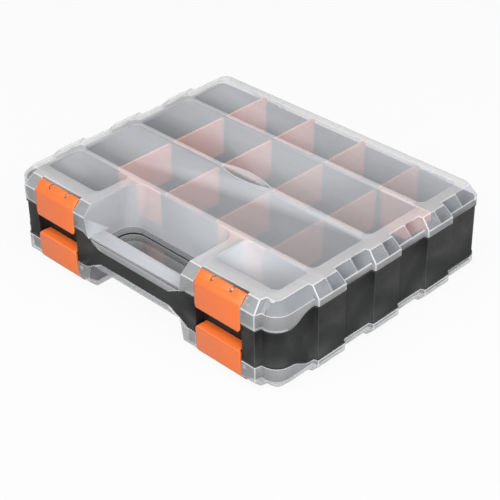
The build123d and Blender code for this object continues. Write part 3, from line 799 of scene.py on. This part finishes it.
@dataclass(frozen=True)
class FloorMarks:
    """Low round marks that the mould's ejectors leave on the tray's floor, one in each compartment.

    Attributes:
        columns: marks along the case.
        rows: marks across it.
        radius: radius of a mark.
        height: height of its disc.
        sink: distance of the disc's middle under the dividers' lower edge.
        sides: sides of its outline.
    """

    columns: int = 5
    rows: int = 3
    radius: float = 4.0 * MM
    height: float = 0.2 * MM
    sink: float = 0.2 * MM
    sides: int = 40

    def tree(self, material: bpy.types.Material) -> bpy.types.NodeTree:
        """Build the geometry nodes that lay the marks out.

        Args:
            material: finish of the marks.

        Returns:
            The tree, with named inputs for its sizes.
        """
        tree = bpy.data.node_groups.new("floor_marks", "GeometryNodeTree")
        for name in ("Length", "Depth", "Radius", "Height"):
            tree.interface.new_socket(name, in_out="INPUT", socket_type="NodeSocketFloat")
        tree.interface.new_socket("Geometry", in_out="OUTPUT", socket_type="NodeSocketGeometry")
        sizes = tree.nodes.new("NodeGroupInput")
        grid = tree.nodes.new("GeometryNodeMeshGrid")
        grid.inputs["Vertices X"].default_value = self.columns
        grid.inputs["Vertices Y"].default_value = self.rows
        disc = tree.nodes.new("GeometryNodeMeshCylinder")
        disc.inputs["Vertices"].default_value = self.sides
        spread = tree.nodes.new("GeometryNodeInstanceOnPoints")
        whole = tree.nodes.new("GeometryNodeRealizeInstances")
        finish = tree.nodes.new("GeometryNodeSetMaterial")
        finish.inputs["Material"].default_value = material
        result = tree.nodes.new("NodeGroupOutput")
        for source, target in ((sizes.outputs["Length"], grid.inputs["Size X"]),
                               (sizes.outputs["Depth"], grid.inputs["Size Y"]),
                               (sizes.outputs["Radius"], disc.inputs["Radius"]),
                               (sizes.outputs["Height"], disc.inputs["Depth"]),
                               (grid.outputs["Mesh"], spread.inputs["Points"]),
                               (disc.outputs["Mesh"], spread.inputs["Instance"]),
                               (spread.outputs["Instances"], whole.inputs["Geometry"]),
                               (whole.outputs["Geometry"], finish.inputs["Geometry"]),
                               (finish.outputs["Geometry"], result.inputs["Geometry"])):
            tree.links.new(source, target)
        return tree

    def build(self, model: Model, face: Face, material: bpy.types.Material) -> None:
        """Lay the marks on one face's floor.

        Args:
            model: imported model.
            face: face whose floor is marked.
            material: finish of the marks.
        """
        dividers = self.columns - 1
        left, right = model.middle("top_divider_2_1"), model.middle(f"top_divider_2_{dividers}")
        front, rear = model.middle("top_divider_1_1"), model.middle(f"top_divider_{self.rows}_1")
        pitch = (right.x - left.x) / (dividers - 1)
        floor_low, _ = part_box("top_divider_1_1")
        middle_z = model.height / 2
        level = (floor_low.z - middle_z - self.sink) * face.value + middle_z
        name = f"{face.title}_floor_marks"
        piece = bpy.data.objects.new(name, bpy.data.meshes.new(name))
        bpy.context.scene.collection.objects.link(piece)
        marks = piece.modifiers.new("floor_marks", "NODES")
        marks.node_group = self.tree(material)
        sizes = {"Length": pitch * dividers, "Depth": rear.y - front.y, "Radius": self.radius,
                 "Height": self.height}
        for socket in marks.node_group.interface.items_tree:
            if socket.name in sizes:
                marks[socket.identifier] = sizes[socket.name]
        Model.bake(piece)
        piece.data.transform(Matrix.Translation((0, (front.y + rear.y) / 2, level)))
        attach(piece, "case")
        LOG.info("%s: %d faces", piece.name, len(piece.data.polygons))


@dataclass
class Lid:
    """Frosted lid of one face with its latches.

    Attributes:
        face: face of the case.
        shell_edges: rounding of the shell.
        latch_edges: rounding of the latches.
        raised_depth: depth under the highest level that counts as the raised border.
        sleeve_reach: height over the middle of the case up to which a face counts as the sleeve, the
        part of the lid that lines the finger gap, which takes painted shade.
        wall_reach: distance from the outside within which a face counts as outer.
        level: least upright share of a level face's normal.
        upright: least upright share of a sloped face's normal.
        ahead: least sideways share of a sloped side's normal.
    """

    face: Face
    shell_edges: EdgeRound = field(default_factory=lambda: EdgeRound(0.75 * MM))
    latch_edges: EdgeRound = field(default_factory=lambda: EdgeRound(0.55 * MM, 3))
    raised_depth: float = 0.05 * MM
    sleeve_reach: float = 7.5 * MM
    wall_reach: float = 15.0 * MM
    level: float = 0.95
    upright: float = 0.2
    ahead: float = 0.1

    def build(self, model: Model, finishes: Finishes) -> None:
        """Make the lid's shell, its latches and its pins.

        Args:
            model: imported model.
            finishes: materials of the object.
        """
        title = self.face.title
        shell = model.rounded(f"{title}_lid", f"{title}_lid_shell", self.shell_edges,
                              [finishes.frost, finishes.frost_edge, finishes.frost_inner])
        self.mark_zones(shell, model, finishes)
        for hand in Hand:
            latch = f"{title}_latch_{hand.value}"
            model.rounded(latch, f"{latch}_plate", self.latch_edges,
                          [finishes.orange, finishes.orange_edge])
            model.dress(f"{title}_latch_pin_{hand.value}", finishes.steel)
            model.dress(f"{title}_hinge_pin_{hand.value}", finishes.steel)

    def mark_zones(self, shell: bpy.types.Object, model: Model, finishes: Finishes) -> None:
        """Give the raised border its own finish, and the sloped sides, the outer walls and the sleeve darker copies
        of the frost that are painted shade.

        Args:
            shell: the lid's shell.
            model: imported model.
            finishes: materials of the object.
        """
        zones = finishes.frost_raised, finishes.frost_sleeve, finishes.frost_slope, finishes.frost_wall
        first = len(shell.data.materials)
        for finish in zones:
            shell.data.materials.append(finish)
        raised, sleeve, slope, wall = range(first, first + len(zones))
        half_height = model.height / 2
        outer_x, outer_y = (side - self.wall_reach for side in model.packed_box[1][:2])
        for part in shell.data.polygons:
            rise = (part.center.z - half_height) * self.face.value
            outside = abs(part.center.x) > outer_x or abs(part.center.y) > outer_y
            if half_height - rise < self.raised_depth:
                part.material_index = raised
            # The sleeve takes less hazy frost that darkens it: painted shade
            elif rise < self.sleeve_reach:
                part.material_index = sleeve
            # Sloped sides and outer walls take darker frost: painted shade by the way they face
            elif part.material_index == FinishPlace.FACE and outside and abs(part.normal.z) < self.level:
                sideways = abs(part.normal.x) > self.ahead and abs(part.normal.z) > self.upright
                part.material_index = slope if sideways else wall


@dataclass
class Tray:
    """Black tray with the dividers that stand in it.

    Attributes:
        shell_edges: rounding of the tray.
        divider_edges: rounding of the dividers.
    """

    shell_edges: EdgeRound = field(default_factory=lambda: EdgeRound(0.35 * MM))
    divider_edges: EdgeRound = field(default_factory=lambda: EdgeRound(0.35 * MM))

    def build(self, model: Model, finishes: Finishes) -> None:
        """Make the tray and its dividers.

        Args:
            model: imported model.
            finishes: materials of the object.
        """
        model.rounded("tray", "tray_shell", self.shell_edges, [finishes.black, finishes.black_edge])
        for node in sorted(node for node in model.frame["nodes"] if "divider" in node):
            model.rounded(node, f"{node}_plate", self.divider_edges,
                          [finishes.divider, finishes.divider_edge])
        for face in Face:
            FloorMarks().build(model, face, finishes.black_edge)


@dataclass(frozen=True)
class Viewpoint:
    """Camera at the photograph's place, fitted to places in the photograph.

    Attributes:
        position: place of the lens.
        back: direction from the object to the camera.
        roll: turn about the line of sight, in degrees.
        focal_pixels: focal length in pixels of the photograph.
        sight: farthest distance that is seen.
    """

    position: tuple[float, float, float] = (0.7366, -0.7238, 0.6942)
    back: tuple[float, float, float] = (0.59171, -0.58508, 0.55459)
    roll: float = -0.984
    focal_pixels: float = 1413.28
    sight: float = 20.0

    def build(self) -> None:
        """Make the camera and set it as the scene's."""
        back = Vector(self.back).normalized()
        level = Vector((0, 0, 1)).cross(back).normalized()
        upright = back.cross(level)
        turn = math.radians(self.roll)
        right = math.cos(turn) * level + math.sin(turn) * upright
        up = back.cross(right)
        lens = bpy.data.cameras.new("photo_camera")
        lens.sensor_width = SENSOR_WIDTH
        lens.lens = self.focal_pixels / PHOTO_PIXELS * SENSOR_WIDTH
        lens.clip_end = self.sight
        camera = bpy.data.objects.new("photo_camera", lens)
        turned = Matrix((right, up, back)).transposed().to_4x4()
        camera.matrix_world = Matrix.Translation(self.position) @ turned
        bpy.context.scene.collection.objects.link(camera)
        bpy.context.scene.camera = camera


@dataclass(frozen=True)
class SoftLamp:
    """Large square lamp that faces the object.

    Attributes:
        name: name of the lamp.
        place: where it stands.
        size: length of its side.
        power: watts.
    """

    name: str
    place: tuple[float, float, float]
    size: float
    power: float

    def build(self, aim: Vector) -> None:
        """Make the lamp.

        Args:
            aim: point that it faces.
        """
        lamp = bpy.data.lights.new(self.name, "AREA")
        lamp.size = self.size
        lamp.energy = self.power
        holder = bpy.data.objects.new(self.name, lamp)
        holder.location = self.place
        holder.rotation_euler = (Vector(self.place) - aim).to_track_quat("Z", "Y").to_euler()
        bpy.context.scene.collection.objects.link(holder)


@dataclass
class Studio:
    """Pale floor, even surroundings and soft lamps.

    Attributes:
        floor_side: side of the floor.
        floor_glow: share of plain white in the floor, as seen directly, mirrored or through glass.
        floor_tone: brightness of the rest of the floor.
        world_strength: strength of the light from all round.
        aim: point that the lamps face.
        lamps: the lamps.
    """

    floor_side: float = 12.0
    floor_glow: float = 0.93
    floor_tone: float = 0.40
    world_strength: float = 0.44
    aim: tuple[float, float, float] = (0.0, 0.0, 0.04)
    lamps: list[SoftLamp] = field(default_factory=lambda: [
        SoftLamp("key_lamp", (0.05, -1.15, 1.35), 1.5, 27.0),
        SoftLamp("fill_lamp", (1.10, -0.25, 1.15), 1.2, 26.0),
    ])

    def build(self) -> None:
        """Make the floor, the world and the lamps."""
        self.make_floor()
        self.make_world()
        for lamp in self.lamps:
            lamp.build(Vector(self.aim))
        bpy.context.scene.view_settings.view_transform = "Standard"

    def make_floor(self) -> None:
        """Make the floor that the case lies on."""
        mesh = bpy.data.meshes.new("studio_floor")
        half = self.floor_side / 2
        corners = [(-half, -half, 0), (half, -half, 0), (half, half, 0), (-half, half, 0)]
        mesh.from_pydata(corners, [], [(0, 1, 2, 3)])
        floor = bpy.data.objects.new("studio_floor", mesh)
        bpy.context.scene.collection.objects.link(floor)
        material = bpy.data.materials.new("studio_floor_white")
        material.use_nodes = True
        graph = Graph(material.node_tree)
        matt = graph.node("ShaderNodeBsdfDiffuse", None, {"Color": (*(self.floor_tone,) * 3, 1.0)})
        glow = graph.node("ShaderNodeEmission", None, {"Color": WHITE, "Strength": 1.0})
        seen = graph.node("ShaderNodeLightPath", output="Is Camera Ray")
        for ray in ("Is Glossy Ray", "Is Transmission Ray"):
            other = graph.node("ShaderNodeLightPath", output=ray)
            seen = graph.node("ShaderNodeMath", {"operation": "MAXIMUM"}, {0: seen, 1: other})
        inputs = {0: seen * self.floor_glow, 1: matt, 2: glow}
        graph.surface(graph.node("ShaderNodeMixShader", None, inputs))
        mesh.materials.append(material)
        floor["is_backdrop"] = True

    def make_world(self) -> None:
        """Make surroundings that look white and light the object evenly."""
        world = bpy.data.worlds.new("studio_world")
        bpy.context.scene.world = world
        world.use_nodes = True
        graph = Graph(world.node_tree)
        seen = graph.node("ShaderNodeLightPath", output="Is Camera Ray")
        strength = graph.spread(seen, (0.0, 1.0), (self.world_strength, 1.0))
        sky = graph.node("ShaderNodeBackground", None, {"Color": WHITE, "Strength": strength})
        graph.node("ShaderNodeOutputWorld", None, {"Surface": sky})


def main() -> None:
    """Build the whole scene."""
    logging.basicConfig(level=logging.INFO, format="%(message)s")
    model = Model()
    Viewpoint().build()
    finishes = Finishes()
    Tray().build(model, finishes)
    for face in Face:
        Lid(face).build(model, finishes)
    Studio().build()


if __name__ == "__main__":
    main()
